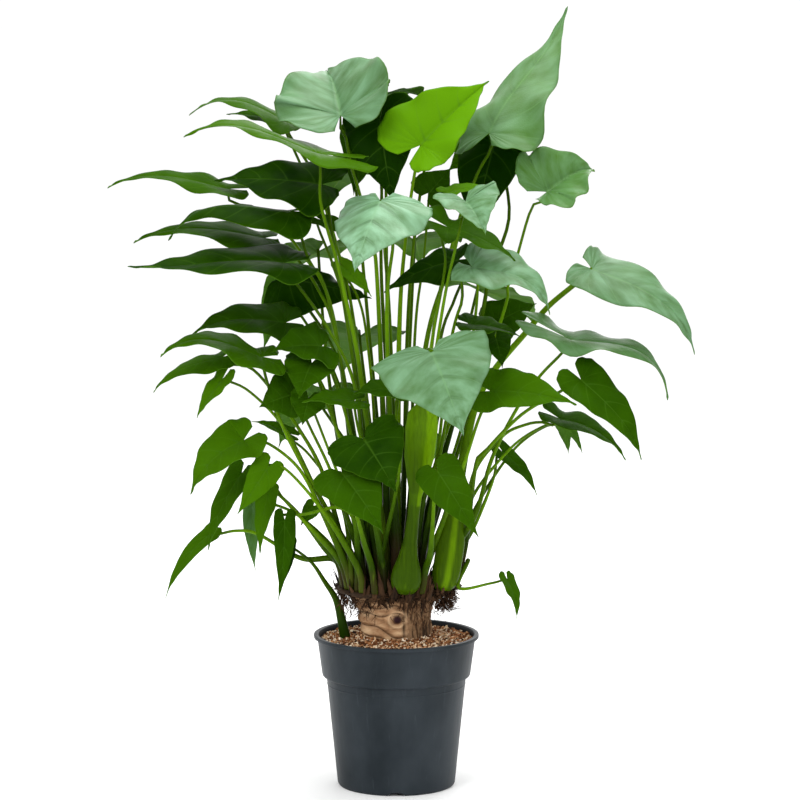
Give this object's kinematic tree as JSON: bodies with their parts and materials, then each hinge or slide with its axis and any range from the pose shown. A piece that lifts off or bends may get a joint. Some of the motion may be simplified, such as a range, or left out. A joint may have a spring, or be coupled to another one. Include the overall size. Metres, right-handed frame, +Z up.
{
  "type": "potted alocasia plant",
  "caption": "Alocasia house plant in a round black nursery pot, with a knobbly rhizome and long-stalked heart-shaped leaves.",
  "frame": {"origin": "middle of the flat boss under the pot, on the plane it stands on", "axes": "+Z up along the pot's axis, front of the plant looks along -Y, +X to the right as seen from the front"},
  "size_m": [0.9506, 0.6141, 1.2653],
  "materials": {
    "pot_plastic": "satin",
    "rhizome_bark": "matte",
    "bark_soil": "matte",
    "leaf_green": "satin"
  },
  "bodies": {
    "root": {"leaf_back_1": "leaf_green", "leaf_back_2": "leaf_green", "leaf_back_3": "leaf_green", "leaf_back_4": "leaf_green", "leaf_back_5": "leaf_green", "leaf_back_6": "leaf_green", "leaf_back_7": "leaf_green", "leaf_front_low_1": "leaf_green", "leaf_front_low_2": "leaf_green", "leaf_front_low_3": "leaf_green", "leaf_front_middle_1": "leaf_green", "leaf_front_middle_3": "leaf_green", "leaf_front_right_1": "leaf_green", "leaf_front_right_2": "leaf_green", "leaf_front_right_4": "leaf_green", "leaf_front_top_1": "leaf_green", "leaf_front_top_2": "leaf_green", "leaf_front_top_4": "leaf_green", "leaf_front_top_5": "leaf_green", "leaf_front_top_6": "leaf_green", "leaf_front_top_7": "leaf_green", "leaf_left_low_1": "leaf_green", "leaf_left_low_11": "leaf_green", "leaf_left_low_3": "leaf_green", "leaf_left_low_4": "leaf_green", "leaf_left_low_5": "leaf_green", "leaf_left_low_6": "leaf_green", "leaf_left_low_9": "leaf_green", "leaf_left_middle_1": "leaf_green", "leaf_left_middle_3": "leaf_green", "leaf_left_middle_4": "leaf_green", "leaf_left_middle_5": "leaf_green", "leaf_left_middle_7": "leaf_green", "leaf_left_middle_8": "leaf_green", "leaf_left_top_1": "leaf_green", "leaf_left_top_3": "leaf_green", "leaf_left_upper_1": "leaf_green", "leaf_left_upper_2": "leaf_green", "leaf_left_upper_3": "leaf_green", "leaf_left_upper_4": "leaf_green", "leaf_left_upper_5": "leaf_green", "leaf_right_1": "leaf_green", "leaf_right_2": "leaf_green", "leaf_right_3": "leaf_green", "leaf_right_4": "leaf_green", "leaf_right_8": "leaf_green", "leaf_right_9": "leaf_green", "leaf_right_low_1": "leaf_green", "leaf_top_1": "leaf_green", "leaf_top_2": "leaf_green", "leaf_top_3": "leaf_green", "leaf_top_4": "leaf_green", "leaf_top_5": "leaf_green", "leaf_top_6": "leaf_green", "leaf_top_7": "leaf_green", "pot": "pot_plastic", "rhizome": "rhizome_bark", "soil": "bark_soil"}
  },
  "joints": []
}
